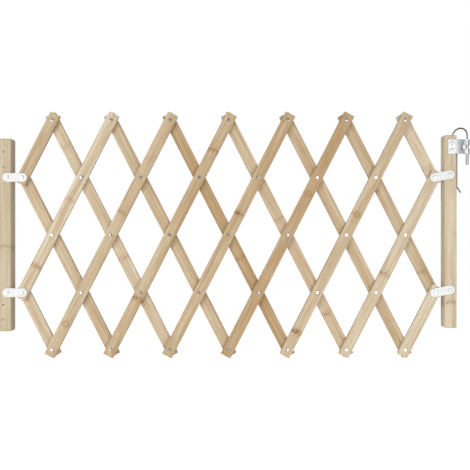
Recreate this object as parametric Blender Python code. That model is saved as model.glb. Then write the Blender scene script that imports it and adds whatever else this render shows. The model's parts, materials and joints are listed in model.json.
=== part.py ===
"""Folding safety gate: a riveted scissor lattice between two posts, held shut by a drop pin.

Frame: metres, +Z up, X along the gate, the front faces -Y. The origin is the centre of the
hinge post's back face. Columns of pivots count from 0 at the hinge post, rows from 1 at the top.
"""
from math import asin, atan2, cos, hypot, pi, radians, sin

import bmesh
import bpy
from mathutils import Matrix, Vector

GAP = 0.0003                    # clearance between touching pieces

# Lattice
PITCH = 0.150                   # pivot to pivot along a bar
LEAN = radians(62.9)            # a bar's angle above the horizontal, gate as hung
COLUMN = PITCH * cos(LEAN)
ROW = PITCH * sin(LEAN)
MIDDLE_ROW = 3
LAST_COLUMN = 14
BAR_WIDTH = 0.0262
BAR_THICK = 0.0090
BAR_OVERHANG = 0.0162           # bar left beyond its end pivots
BAR_CORNER = 0.0022

# Posts
POST_WIDTH = 0.029
POST_DEPTH = 0.030
POST_HEIGHT = 0.450
POST_EASING = 0.0022
POST_PIVOT_INSET = 0.006        # hinge post: link pivots this far towards the lattice
LATCH_POST_INSET = 0.0030       # free post: pivots this far from its centre line
LATCH_POST_RISE = 0.0080        # the free post hangs a little higher on its tilted links
WALL_HOLE_R = 0.0018
WALL_HOLE_X = -0.0042
WALL_HOLES_Z = (0.193, 0.158, -0.162, -0.197)

# Link plates between post and lattice
LINK_PITCH = 0.035
LINK_WIDTH = 0.0204
LINK_LENGTH = 0.0575
LINK_THICK = 0.0030
LINK_TILT = radians(10.7)       # free side only: the post end is the higher one
SLOT_X = 0.0016                 # play the opened lower pivot needs, each way
SLOT_Z = 0.0030

# Rivets and screws
SHANK_R = 0.0018
HOLE_R = 0.0023
HEAD_R = 0.0036
HEAD_RISE = 0.0021
TAIL_R = 0.0044
TAIL_RISE = 0.0016
SCREW_LENGTH = 0.022            # under the head, through a link plate into the post
SHORT_SCREW = 0.0125            # in the bracket and the guide

# Layers, front to back
FRONT = -POST_DEPTH             # front face of posts and front bars
BACK_BAR_FRONT = FRONT + BAR_THICK + 0.0004
BACK_BAR_BACK = BACK_BAR_FRONT + BAR_THICK
LINK_BACK = FRONT - GAP
LINK_FRONT = LINK_BACK - LINK_THICK

# Latch, measured from the free post's centre line and the bracket's middle
PLATE_THICK = 0.0015
BRACKET_DROP = 0.0275           # bracket's middle below the post's top
BRACKET_HEIGHT = 0.0335
BRACKET_LEFT = -0.0066
BRACKET_BENDS = ((0.0171, 0.0), (0.0286, 0.0024))   # X, and how far back of the plate
BRACKET_SCREW_X = 0.0023
BRACKET_SCREW_Z = 0.0079
PIN_X = 0.0398
PIN_Y = FRONT + 0.0055
PIN_R = 0.0033
PIN_TOP = 0.0166
PIN_BOTTOM = -0.042
PIN_SOCKET = 0.010
KNUCKLE_BORE = 0.0039
EYE_SLOT = (-0.0050, 0.0035)    # between the knuckles, where a wall eye enters
WIRE_R = 0.0018
ARCH_RISE = 0.018
ARCH_FOOT = Vector((0.016, FRONT + 0.034))
WIRE_LEG_X = 0.026
WIRE_BEND_END = 0.0085          # the bend's lower end, which rests on the guide's eye
WIRE_BOTTOM = -0.090
WIRE_TIP = ((0.0012, 0.0, -0.0030), (0.0030, 0.0, -0.0055), (0.0098, 0.0, -0.0147))
GUIDE_HEIGHT = 0.012
GUIDE_LEFT = -0.0065
GUIDE_SCREW_X = (-0.001, 0.009)

# Each bar: its first pivot (column, row), how many pivots it has, and the crossing it hangs from
FRONT_BARS = (
    ((0, 2), 2, (0, 2)), ((0, 4), 4, (1, 3)), ((1, 5), 5, (2, 4)), ((3, 5), 5, (3, 5)),
    ((5, 5), 5, (7, 3)), ((7, 5), 5, (9, 3)), ((9, 5), 5, (10, 4)), ((11, 5), 4, (11, 5)),
    ((13, 5), 2, (14, 4)),
)
BACK_BARS = (
    ((0, 4), 2, (0, 4)), ((0, 2), 4, (0, 2)), ((1, 1), 5, (2, 2)), ((3, 1), 5, (4, 2)),
    ((5, 1), 5, (6, 2)), ((7, 1), 5, (7, 1)), ((9, 1), 5, (11, 3)), ((11, 1), 4, (13, 3)),
    ((13, 1), 2, (14, 2)),
)
HINGE_CROSSINGS = sorted({hung_from for _, _, hung_from in FRONT_BARS + BACK_BARS})
LINK_PIVOTS = {(0, 2), (0, 4), (LAST_COLUMN, 2), (LAST_COLUMN, 4)}

FIRST_COLUMN_X = POST_PIVOT_INSET + LINK_PITCH
LATCH_PIVOT_X = FIRST_COLUMN_X + LAST_COLUMN * COLUMN + LINK_PITCH * cos(LINK_TILT)
LATCH_POST_X = LATCH_PIVOT_X + LATCH_POST_INSET
BRACKET_Z = LATCH_POST_RISE + POST_HEIGHT / 2 - BRACKET_DROP


def pivot_point(column, row):
    """World X and Z of a lattice pivot."""
    return FIRST_COLUMN_X + column * COLUMN, (MIDDLE_ROW - row) * ROW


def material(name, colour, roughness, metallic=0.0):
    """A Principled BSDF material."""
    made = bpy.data.materials.new(name)
    made.use_nodes = True
    shader = made.node_tree.nodes["Principled BSDF"]
    shader.inputs["Base Color"].default_value = (*colour, 1.0)
    shader.inputs["Roughness"].default_value = roughness
    shader.inputs["Metallic"].default_value = metallic
    return made


def add_object(name, bm, finish, location=(0, 0, 0), turn=0.0):
    """Put a bmesh into the scene as one object with its own copy of a finish."""
    bmesh.ops.recalc_face_normals(bm, faces=bm.faces)
    mesh = bpy.data.meshes.new(name)
    bm.to_mesh(mesh)
    bm.free()
    mesh.materials.append(finish.copy())
    obj = bpy.data.objects.new(name, mesh)
    obj.location = location
    obj.rotation_euler = (0.0, turn, 0.0)
    bpy.context.collection.objects.link(obj)
    return obj


def extrude_outline(bm, points, direction):
    """Extrude a closed outline of 3-D points along a vector, as a closed solid."""
    face = bm.faces.new([bm.verts.new(point) for point in points])
    grown = bmesh.ops.extrude_face_region(bm, geom=[face])
    moved = [item for item in grown["geom"] if isinstance(item, bmesh.types.BMVert)]
    bmesh.ops.translate(bm, verts=moved, vec=direction)


def rounded_outline(left, right, bottom, top, radius, steps):
    """Corner-rounded rectangle as (x, z) points."""
    corners = ((right, top, 0), (left, top, 1), (left, bottom, 2), (right, bottom, 3))
    points = []
    for x, z, quarter in corners:
        centre_x = x - radius if x == right else x + radius
        centre_z = z - radius if z == top else z + radius
        for step in range(steps + 1):
            angle = pi / 2 * (quarter + step / steps)
            points.append((centre_x + radius * cos(angle), centre_z + radius * sin(angle)))
    return points


def add_slab(bm, outline, front, back):
    """A flat piece with an (x, z) outline, from one Y to another."""
    extrude_outline(bm, [(x, front, z) for x, z in outline], (0.0, back - front, 0.0))


def add_rod(bm, centre, direction, radius, length, sides):
    """A round rod from a centre point along a direction."""
    matrix = Matrix.Translation(centre) @ direction.to_track_quat("Z", "Y").to_matrix().to_4x4()
    matrix = matrix @ Matrix.Translation((0.0, 0.0, length / 2))
    bmesh.ops.create_cone(bm, cap_ends=True, segments=sides, radius1=radius, radius2=radius,
                          depth=length, matrix=matrix)


def add_turned(bm, profile, place, sides=8):
    """Turn a profile of (radius, depth) points about a Y axis; it starts and ends on the axis."""
    rings = []
    for radius, depth in profile:
        if radius == 0.0:
            rings.append([bm.verts.new(place @ Vector((0.0, depth, 0.0)))])
            continue
        ring = []
        for side in range(sides):
            angle = 2 * pi * side / sides
            point = Vector((radius * cos(angle), depth, radius * sin(angle)))
            ring.append(bm.verts.new(place @ point))
        rings.append(ring)
    for first, second in zip(rings, rings[1:]):
        for side in range(sides):
            following = (side + 1) % sides
            corners = [first[side % len(first)], first[following % len(first)],
                       second[following % len(second)], second[side % len(second)]]
            bm.faces.new(list(dict.fromkeys(corners)))


def cut(obj, name, fill):
    """Cut an object with a hidden cutter that shares its place; fill(bm) draws the cutter."""
    bm = bmesh.new()
    fill(bm)
    bmesh.ops.recalc_face_normals(bm, faces=bm.faces)
    mesh = bpy.data.meshes.new(name)
    bm.to_mesh(mesh)
    bm.free()
    cutter = bpy.data.objects.new(name, mesh)
    bpy.context.collection.objects.link(cutter)
    cutter.parent = obj
    cutter.hide_render = True
    cutter.display_type = "WIRE"
    boolean = obj.modifiers.new(name, "BOOLEAN")
    boolean.operation = "DIFFERENCE"
    boolean.solver = "EXACT"
    boolean.object = cutter


def make_bar(name, bar, leaning_up, front, finish):
    """One lattice bar, with its origin on the pivot that it hangs from."""
    (column, row), count, (hang_column, hang_row) = bar
    hang_index = hang_column - column
    start = -hang_index * PITCH
    half = BAR_WIDTH / 2
    outline = rounded_outline(start - BAR_OVERHANG, start + (count - 1) * PITCH + BAR_OVERHANG,
                              -half, half, BAR_CORNER, 2)
    bm = bmesh.new()
    add_slab(bm, outline, 0.0, BAR_THICK)
    x, z = pivot_point(hang_column, hang_row)
    obj = add_object(name, bm, finish, (x, front, z), -LEAN if leaning_up else LEAN)

    def holes(cutter):
        for index in range(count):
            spot = Vector((start + index * PITCH, -BAR_THICK, 0.0))
            add_rod(cutter, spot, Vector((0, 1, 0)), HOLE_R, 3 * BAR_THICK, 8)

    cut(obj, name + "_holes", holes)


def rivet_profile(shank_start):
    """Domed head, shank and clinched tail, as (radius, depth) points."""
    head_back = shank_start - GAP
    tail_front = BACK_BAR_BACK + GAP
    return (
        (0.0, head_back - HEAD_RISE), (0.62 * HEAD_R, head_back - 0.80 * HEAD_RISE),
        (HEAD_R, head_back), (SHANK_R, head_back), (SHANK_R, tail_front),
        (TAIL_R, tail_front), (0.7 * TAIL_R, tail_front + TAIL_RISE), (0.0, tail_front + TAIL_RISE),
    )


def make_rivet(column, row, finish):
    """The rivet at one crossing, which also holds a link plate at the lattice's four corners."""
    bm = bmesh.new()
    x, z = pivot_point(column, row)
    shank_start = LINK_FRONT if (column, row) in LINK_PIVOTS else FRONT
    add_turned(bm, rivet_profile(shank_start), Matrix.Identity(4))
    add_object(f"rivet_c{column}_r{row}", bm, finish, (x, 0.0, z))


def make_post(name, x, z, finish, pivots, fill_extra):
    """A square post with eased edges, a screw hole and a longer slot for its two links."""
    bm = bmesh.new()
    size = Matrix.Diagonal((POST_WIDTH, POST_DEPTH, POST_HEIGHT, 1.0))
    bmesh.ops.create_cube(bm, size=1.0, matrix=Matrix.Translation((0, FRONT / 2, 0)) @ size)
    obj = add_object(name, bm, finish, (x, 0.0, z))
    easing = obj.modifiers.new("easing", "BEVEL")
    easing.width = POST_EASING
    easing.segments = 2
    (upper_x, upper_z), (lower_x, lower_z), slot_x = pivots
    depth = SCREW_LENGTH - LINK_THICK + 2 * GAP
    inward = Vector((0, 1, 0))

    def holes(cutter):
        start = FRONT - POST_DEPTH / 4
        length = POST_DEPTH / 4 + depth
        add_rod(cutter, Vector((upper_x, start, upper_z)), inward, HOLE_R, length, 8)
        half_x = HOLE_R + slot_x
        half_z = HOLE_R + SLOT_Z
        slot = rounded_outline(lower_x - half_x, lower_x + half_x, lower_z - half_z,
                               lower_z + half_z, 0.8 * half_x, 2)
        add_slab(cutter, slot, start, FRONT + depth)
        fill_extra(cutter)

    cut(obj, name + "_holes", holes)


def make_hinge_post(finish):
    """The wall-side post, drilled right through for its wall screws."""

    def wall_holes(cutter):
        for z in WALL_HOLES_Z:
            spot = Vector((WALL_HOLE_X, -1.5 * POST_DEPTH, z))
            add_rod(cutter, spot, Vector((0, 1, 0)), WALL_HOLE_R, 2 * POST_DEPTH, 8)

    pivots = ((POST_PIVOT_INSET, ROW), (POST_PIVOT_INSET, -ROW), 0.0)
    make_post("left_post", 0.0, 0.0, finish, pivots, wall_holes)


def make_latch_post(finish):
    """The free post, drilled for the screws of its bracket and of the wire's guide."""

    def latch_holes(cutter):
        z = POST_HEIGHT / 2 - BRACKET_DROP
        for side in (-1, 1):
            spot = Vector((BRACKET_SCREW_X, FRONT - HOLE_R, z + side * BRACKET_SCREW_Z))
            add_rod(cutter, spot, Vector((0, 1, 0)), HOLE_R, HOLE_R + SHORT_SCREW, 8)
        for x in GUIDE_SCREW_X:
            spot = Vector((x, HOLE_R, z))
            add_rod(cutter, spot, Vector((0, -1, 0)), HOLE_R, HOLE_R + SHORT_SCREW, 8)

    rise = LINK_PITCH * sin(LINK_TILT) - LATCH_POST_RISE
    pivots = ((-LATCH_POST_INSET, ROW + rise), (-LATCH_POST_INSET, rise - ROW), SLOT_X)
    make_post("right_post", LATCH_POST_X, LATCH_POST_RISE, finish, pivots, latch_holes)


def make_link(name, x, z, lattice_end, tilt, finish):
    """A stadium-shaped plate between post and lattice; its origin is the pivot it hangs from."""
    bm = bmesh.new()
    far = LINK_PITCH * lattice_end
    overhang = (LINK_LENGTH - LINK_PITCH) / 2
    low, high = sorted((0.0, far))
    outline = rounded_outline(low - overhang, high + overhang, -LINK_WIDTH / 2, LINK_WIDTH / 2,
                              0.98 * LINK_WIDTH / 2, 4)
    add_slab(bm, outline, 0.0, LINK_THICK)
    obj = add_object(name, bm, finish, (x, LINK_FRONT, z), -tilt)

    def holes(cutter):
        for spot in (0.0, far):
            start = Vector((spot, -LINK_THICK, 0.0))
            add_rod(cutter, start, Vector((0, 1, 0)), HOLE_R, 3 * LINK_THICK, 8)

    cut(obj, name + "_holes", holes)


def screw_profile(length):
    """Pan head and plain shank, as (radius, depth) points counted from under the head."""
    return (
        (0.0, -HEAD_RISE), (0.7 * HEAD_R, -0.85 * HEAD_RISE), (HEAD_R, 0.0),
        (SHANK_R, 0.0), (SHANK_R, length - SHANK_R), (0.0, length),
    )


def make_screw(name, x, z, head_back, length, finish, backwards=False):
    """A screw driven along +Y, or along -Y when it goes in from behind."""
    bm = bmesh.new()
    place = Matrix.Rotation(pi, 4, "Z") if backwards else Matrix.Identity(4)
    add_turned(bm, screw_profile(length), place)
    add_object(name, bm, finish, (x, head_back, z))


def strip_outline(centreline, thickness):
    """The closed outline of a strip of even thickness along a centreline of (x, y) points."""
    sides = ([], [])
    for index, point in enumerate(centreline):
        before = centreline[max(index - 1, 0)]
        after = centreline[min(index + 1, len(centreline) - 1)]
        ahead = (after - point).normalized() if after != point else (point - before).normalized()
        behind = (point - before).normalized() if before != point else ahead
        mitre = (ahead + behind).normalized()
        reach = thickness / 2 / max(mitre.dot(ahead), 0.5)
        normal = Vector((-mitre.y, mitre.x)) * reach
        sides[0].append(point + normal)
        sides[1].append(point - normal)
    return sides[0] + sides[1][::-1]


def rolled_strip(points, eye, radius, sweep, steps):
    """Centreline of a bent strip whose end is rolled round an eye, towards +Y."""
    to_eye = eye - points[-1]
    heading = atan2(to_eye.y, to_eye.x) - asin(radius / hypot(to_eye.x, to_eye.y))
    arc = [heading - pi / 2 + sweep * step / steps for step in range(steps + 1)]
    return points + [eye + radius * Vector((cos(angle), sin(angle))) for angle in arc]


def add_plan_slab(bm, outline, bottom, top):
    """A solid with an (x, y) outline, from one Z to another."""
    extrude_outline(bm, [(point.x, point.y, bottom) for point in outline], (0, 0, top - bottom))


def make_bracket(finish):
    """Bracket on the free post: a plate rolled into an upper and a lower knuckle."""
    plate_y = LINK_BACK - PLATE_THICK / 2
    points = [Vector((BRACKET_LEFT, plate_y))]
    points += [Vector((x, plate_y + back)) for x, back in BRACKET_BENDS]
    line = rolled_strip(points, Vector((PIN_X, PIN_Y)), KNUCKLE_BORE + PLATE_THICK / 2,
                        radians(300), 15)
    bm = bmesh.new()
    half = BRACKET_HEIGHT / 2
    add_plan_slab(bm, strip_outline(line, PLATE_THICK), -half, half)
    obj = add_object("latch_bracket", bm, finish, (LATCH_POST_X, 0.0, BRACKET_Z))

    def openings(cutter):
        left = BRACKET_BENDS[-1][0]
        right = PIN_X + 2 * KNUCKLE_BORE
        slot = [(left, EYE_SLOT[0]), (right, EYE_SLOT[0]), (right, EYE_SLOT[1]),
                (left, EYE_SLOT[1])]
        add_slab(cutter, slot, FRONT - POST_DEPTH, 0.0)
        for side in (-1, 1):
            spot = Vector((BRACKET_SCREW_X, FRONT - POST_DEPTH, side * BRACKET_SCREW_Z))
            add_rod(cutter, spot, Vector((0, 1, 0)), HOLE_R, POST_DEPTH, 8)

    cut(obj, "latch_bracket_openings", openings)


def make_pin(finish):
    """The drop pin, with a socket in its top for the wire."""
    bm = bmesh.new()
    profile = [(0.0, PIN_BOTTOM), (0.7 * PIN_R, PIN_BOTTOM), (PIN_R, PIN_BOTTOM + 0.0015),
               (PIN_R, PIN_TOP), (WIRE_R + 2 * GAP, PIN_TOP),
               (WIRE_R + 2 * GAP, PIN_TOP - PIN_SOCKET), (0.0, PIN_TOP - PIN_SOCKET)]
    add_turned(bm, profile, Matrix.Rotation(pi / 2, 4, "X"), 12)
    add_object("latch_pin", bm, finish, (LATCH_POST_X + PIN_X, PIN_Y, BRACKET_Z))


def bail_route():
    """The wire's centre line from the pin: up, over the post in an arch, and down behind it."""
    pin = Vector((PIN_X, PIN_Y))
    middle = (pin + ARCH_FOOT) / 2
    reach = (pin - ARCH_FOOT) / 2
    spring_z = BRACKET_DROP
    route = [Vector((*pin, PIN_TOP - PIN_SOCKET + 3 * GAP))]
    for step in range(13):
        angle = pi * step / 12
        flat = middle + reach * cos(angle)
        route.append(Vector((*flat, spring_z + ARCH_RISE * sin(angle))))
    leg = Vector((WIRE_LEG_X, ARCH_FOOT.y))
    for step in range(1, 7):
        share = step / 6
        ease = (1 - cos(pi * share)) / 2
        flat = ARCH_FOOT.lerp(leg, ease)
        route.append(Vector((*flat, spring_z + share * (WIRE_BEND_END - spring_z))))
    bottom = Vector((*leg, WIRE_BOTTOM))
    route.append(bottom)
    route += [bottom + Vector(offset) for offset in WIRE_TIP]
    return route


def make_bail(finish):
    """The latch's wire handle, as a bevelled curve."""
    curve = bpy.data.curves.new("pin_bail", "CURVE")
    curve.dimensions = "3D"
    spline = curve.splines.new("POLY")
    route = bail_route()
    spline.points.add(len(route) - 1)
    for point, place in zip(spline.points, route):
        point.co = (*place, 1.0)
    curve.bevel_depth = WIRE_R
    curve.bevel_resolution = 2
    curve.use_fill_caps = True
    curve.materials.append(finish.copy())
    obj = bpy.data.objects.new("pin_bail", curve)
    obj.location = (LATCH_POST_X, 0.0, BRACKET_Z)
    bpy.context.collection.objects.link(obj)


def make_guide(finish):
    """Strap on the free post's back face, rolled into an eye that the wire slides in."""
    strap_y = GAP + PLATE_THICK / 2
    radius = ARCH_FOOT.y - strap_y
    line = rolled_strip([Vector((GUIDE_LEFT, strap_y)), Vector((POST_WIDTH / 2, strap_y))],
                        Vector((WIRE_LEG_X, ARCH_FOOT.y)), radius, radians(290), 12)
    bm = bmesh.new()
    half = GUIDE_HEIGHT / 2
    add_plan_slab(bm, strip_outline(line, PLATE_THICK), -half, half)
    obj = add_object("bail_guide", bm, finish, (LATCH_POST_X, 0.0, BRACKET_Z))

    def holes(cutter):
        for x in GUIDE_SCREW_X:
            spot = Vector((x, -POST_DEPTH, 0.0))
            add_rod(cutter, spot, Vector((0, 1, 0)), HOLE_R, 2 * POST_DEPTH, 8)

    cut(obj, "bail_guide_holes", holes)


def make_latch(steel):
    """Bracket, pin, wire and guide, with their screws."""
    make_bracket(steel)
    make_pin(steel)
    make_bail(steel)
    make_guide(steel)
    for number, side in enumerate((1, -1), 1):
        z = BRACKET_Z + side * BRACKET_SCREW_Z
        make_screw(f"bracket_screw_{number}", LATCH_POST_X + BRACKET_SCREW_X, z,
                   LINK_BACK - PLATE_THICK - GAP, SHORT_SCREW, steel)
    for number, x in enumerate(GUIDE_SCREW_X, 1):
        make_screw(f"guide_screw_{number}", LATCH_POST_X + x, BRACKET_Z,
                   PLATE_THICK + 2 * GAP, SHORT_SCREW, steel, backwards=True)


def make_links(plastic, steel):
    """The four link plates and the screws that hold them to the posts."""
    head_back = LINK_FRONT - GAP
    lower_z = -ROW
    left_x, right_x = POST_PIVOT_INSET, pivot_point(LAST_COLUMN, 2)[0]
    make_link("link_upper_left", left_x, ROW, 1, 0.0, plastic)
    make_link("link_lower_left", FIRST_COLUMN_X, lower_z, -1, 0.0, plastic)
    make_link("link_upper_right", right_x, ROW, 1, LINK_TILT, plastic)
    make_link("link_lower_right", right_x, lower_z, 1, LINK_TILT, plastic)
    rise = LINK_PITCH * sin(LINK_TILT)
    spots = {"upper_left": (left_x, ROW), "lower_left": (left_x, lower_z),
             "upper_right": (LATCH_PIVOT_X, ROW + rise),
             "lower_right": (LATCH_PIVOT_X, lower_z + rise)}
    for name, (x, z) in spots.items():
        make_screw("link_screw_" + name, x, z, head_back, SCREW_LENGTH, steel)


def build():
    """Clear the scene and model the whole gate."""
    for obj in list(bpy.data.objects):
        bpy.data.objects.remove(obj)
    bamboo = material("bamboo", (0.70, 0.58, 0.40), 0.55)
    steel = material("zinc_steel", (0.72, 0.72, 0.71), 0.3, 1.0)
    plastic = material("white_plastic", (0.90, 0.90, 0.89), 0.35)
    make_hinge_post(bamboo)
    make_latch_post(bamboo)
    for number, bar in enumerate(FRONT_BARS, 1):
        make_bar(f"front_bar_{number}", bar, True, FRONT, bamboo)
    for number, bar in enumerate(BACK_BARS, 1):
        make_bar(f"back_bar_{number}", bar, False, BACK_BAR_FRONT, bamboo)
    for column, row in HINGE_CROSSINGS:
        make_rivet(column, row, steel)
    make_links(plastic, steel)
    make_latch(steel)


build()
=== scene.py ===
"""Visual model of a folding safety gate.

A riveted scissor lattice of bamboo slats hangs between two square posts. White link plates join
the lattice to the posts, and a drop pin in a rolled steel bracket holds the free post shut.
Metres, +Z up, X along the gate, and the front faces -Y.
"""

import json
import logging
from contextlib import contextmanager
from dataclasses import dataclass, replace
from enum import Enum
from math import asin, atan2, cos, hypot, pi, radians, sin
from typing import Callable, Iterator, Optional, Sequence, Union

import bmesh
import bpy
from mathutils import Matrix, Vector


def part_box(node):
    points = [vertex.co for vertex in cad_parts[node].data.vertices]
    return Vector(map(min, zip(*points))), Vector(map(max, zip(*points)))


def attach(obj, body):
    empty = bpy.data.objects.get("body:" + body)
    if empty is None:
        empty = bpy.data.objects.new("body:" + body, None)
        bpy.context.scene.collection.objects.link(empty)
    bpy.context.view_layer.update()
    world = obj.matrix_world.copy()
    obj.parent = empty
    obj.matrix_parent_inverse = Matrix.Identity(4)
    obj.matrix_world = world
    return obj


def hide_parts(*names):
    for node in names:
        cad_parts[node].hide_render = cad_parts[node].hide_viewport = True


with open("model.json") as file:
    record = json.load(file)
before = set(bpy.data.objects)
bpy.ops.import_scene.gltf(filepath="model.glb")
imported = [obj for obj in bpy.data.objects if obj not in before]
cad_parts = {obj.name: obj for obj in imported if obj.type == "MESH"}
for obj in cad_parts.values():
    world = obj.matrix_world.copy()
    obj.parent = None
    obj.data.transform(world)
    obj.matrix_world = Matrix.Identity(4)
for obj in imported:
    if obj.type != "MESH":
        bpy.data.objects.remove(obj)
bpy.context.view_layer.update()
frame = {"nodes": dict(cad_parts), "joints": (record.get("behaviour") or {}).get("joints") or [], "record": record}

log = logging.getLogger("gate")

Colour = tuple[float, float, float, float]
Socket = bpy.types.NodeSocket
Value = Union[float, Socket]
Piece = bpy.types.Object
Test = Callable[[Vector, Vector], bool]

ROWS = 5
COLUMNS = 15
MIDDLE_ROW = 3
MM = 0.001


# ---- Reading the frame ----------------------------------------------------------------------


def middle_of(node: str) -> Vector:
    """The middle of a CAD node's box."""
    low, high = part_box(node)
    return (low + high) / 2


def joint_place(name: str) -> Vector:
    """A point on a joint's axis."""
    return next(Vector(joint["pos_m"]) for joint in frame["joints"] if joint["name"] == name)


class Layer(Enum):
    """The two layers of slats: the front one leans up to the right, the back one up to the left."""

    FRONT = "front"
    BACK = "back"

    @property
    def lean_sign(self) -> int:
        """Which way the layer's slats are turned about +Y."""
        return -1 if self is Layer.FRONT else 1


@dataclass(frozen=True)
class Grid:
    """The lattice's pivots. Columns count from 0 at the hinge post, rows from 1 at the top.

    Attributes:
        first_x: X of column 0.
        middle_z: Z of the middle row.
        column: from one column to the next.
        row: from one row to the next.
    """

    first_x: float
    middle_z: float
    column: float
    row: float

    @classmethod
    def from_frame(cls) -> "Grid":
        """Read the grid from the joints at column 0, row 2 and at column 1, row 3.

        Returns:
            The grid.
        """
        upper = joint_place("back_bar_2_hinge")
        lower = joint_place("lattice_fold")
        return cls(upper.x, lower.z, lower.x - upper.x, upper.z - lower.z)

    @property
    def pitch(self) -> float:
        """Pivot to pivot along a slat."""
        return hypot(self.column, self.row)

    @property
    def lean(self) -> float:
        """A slat's angle above the horizontal."""
        return atan2(self.row, self.column)

    def pivot(self, column: int, row: int) -> tuple[float, float]:
        """World X and Z of a pivot."""
        return self.first_x + column * self.column, self.middle_z + (MIDDLE_ROW - row) * self.row

    def slat_pivots(self, layer: Layer, number: int) -> list[tuple[int, int]]:
        """The pivots of one slat.

        Args:
            layer: the slat's layer.
            number: its number, from 1 at the hinge post.

        Returns:
            (column, row) pairs from left to right.
        """
        if layer is Layer.FRONT:
            spots = [(2 * number - row, row) for row in range(ROWS, 0, -1)]
        else:
            spots = [(2 * number - (ROWS + 1) + row, row) for row in range(1, ROWS + 1)]
        return [(column, row) for column, row in spots if self.has_rivet(column, row)]

    def has_rivet(self, column: int, row: int) -> bool:
        """Whether slats cross at a column and row.

        Args:
            column: the column.
            row: the row.

        Returns:
            True where they cross.
        """
        inside = 0 <= column < COLUMNS and 1 <= row <= ROWS
        at_end = column in (0, COLUMNS - 1) and row in (1, ROWS)
        return inside and (column + row) % 2 == 0 and not at_end

    def crossings(self) -> list[tuple[int, int]]:
        """Every crossing, as (column, row)."""
        return [(column, row) for column in range(COLUMNS) for row in range(1, ROWS + 1)
                if self.has_rivet(column, row)]


# ---- Bench work: selecting, cutting and finishing with Blender's own operators --------------


class Axis(Enum):
    """The axes that edges are picked by."""

    Y = 1
    Z = 2


class Pick(Enum):
    """What is selected in edit mode."""

    CORNERS = "VERT"
    EDGES = "EDGE"
    FACES = "FACE"


def take_up(*pieces: Piece) -> None:
    """Select some pieces and nothing else.

    Args:
        pieces: the pieces. The first becomes the active one.
    """
    bpy.ops.object.select_all(action="DESELECT")
    for piece in pieces:
        piece.select_set(True)
    bpy.context.view_layer.objects.active = pieces[0]


def fix_place(obj: Piece) -> Piece:
    """Move an object's place, turn and scale into its mesh.

    Args:
        obj: the object.

    Returns:
        The same object.
    """
    take_up(obj)
    bpy.ops.object.transform_apply(location=True, rotation=True, scale=True)
    return obj


@contextmanager
def editing(obj: Piece, pick: Pick = Pick.FACES) -> Iterator[None]:
    """Edit an object with nothing selected at first.

    Args:
        obj: the object.
        pick: what is selected.
    """
    take_up(obj)
    bpy.ops.object.mode_set(mode="EDIT")
    bpy.ops.mesh.select_mode(type=pick.value)
    bpy.ops.mesh.select_all(action="DESELECT")
    yield
    bpy.ops.object.mode_set(mode="OBJECT")


def pick_faces(obj: Piece, test: Test) -> None:
    """Select, in edit mode, only some of the faces.

    Args:
        obj: the object.
        test: passes or fails a face by its middle and normal.
    """
    bpy.ops.mesh.select_all(action="DESELECT")
    bm = bmesh.from_edit_mesh(obj.data)
    for face in bm.faces:
        face.select_set(test(face.calc_center_median(), face.normal))
    bmesh.update_edit_mesh(obj.data)


def pick_edges(obj: Piece, test: Test) -> None:
    """Select, in edit mode, only some of the edges.

    Args:
        obj: the object.
        test: passes or fails an edge by its middle and direction.
    """
    bpy.ops.mesh.select_all(action="DESELECT")
    bm = bmesh.from_edit_mesh(obj.data)
    for edge in bm.edges:
        start, end = (vert.co for vert in edge.verts)
        edge.select_set(test((start + end) / 2, (end - start).normalized()))
    bmesh.update_edit_mesh(obj.data)


def round_edges(obj: Piece, axis: Axis, radius: float, segments: int,
                others: bool = False) -> None:
    """Round the edges along an axis, or those square to it.

    Args:
        obj: a block.
        axis: the axis.
        radius: radius of the rounding.
        segments: number of flats that it is made of.
        others: whether the edges square to the axis are the ones.
    """
    with editing(obj, Pick.EDGES):
        pick_edges(obj, lambda middle, way: (abs(way[axis.value]) < 0.5) == others)
        bpy.ops.mesh.bevel(offset=radius, segments=segments, affect="EDGES")


def face_outwards(obj: Piece) -> None:
    """Turn all faces of a closed shape outwards.

    Args:
        obj: the shape.
    """
    with editing(obj):
        bpy.ops.mesh.select_all(action="SELECT")
        bpy.ops.mesh.normals_make_consistent(inside=False)


def add_block(size: Sequence[float], place: Sequence[float]) -> Piece:
    """A rectangular block, the start of slats, posts and cutters.

    Args:
        size: its size in X, Y and Z.
        place: its middle.

    Returns:
        The block, with its place in its mesh.
    """
    bpy.ops.mesh.primitive_cube_add(size=1, location=place)
    obj = bpy.context.object
    obj.scale = size
    return fix_place(obj)


def add_drill(radius: float, place: Sequence[float], length: float, sides: int = 24) -> Piece:
    """A round cutter along Y, by its radius, middle, length and number of sides."""
    bpy.ops.mesh.primitive_cylinder_add(vertices=sides, radius=radius, depth=length,
                                        location=place, rotation=(pi / 2, 0, 0))
    return fix_place(bpy.context.object)


def apply_modifier(obj: Piece, kind: str, **settings: object) -> None:
    """Add a modifier and apply it at once.

    Args:
        obj: the object.
        kind: the modifier's type.
        settings: its settings.
    """
    take_up(obj)
    modifier = obj.modifiers.new(kind.lower(), kind)
    for name, value in settings.items():
        setattr(modifier, name, value)
    bpy.ops.object.modifier_apply(modifier=modifier.name)


def carve(obj: Piece, cutters: Sequence[Piece]) -> None:
    """Cut shapes out of an object, and take the cutters away.

    Args:
        obj: the object to cut.
        cutters: closed shapes that stay clear of each other.
    """
    take_up(*cutters)
    if len(cutters) > 1:
        bpy.ops.object.join()
    joined = bpy.context.object
    apply_modifier(obj, "BOOLEAN", operation="DIFFERENCE", solver="EXACT", object=joined)
    bpy.data.objects.remove(joined)


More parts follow.
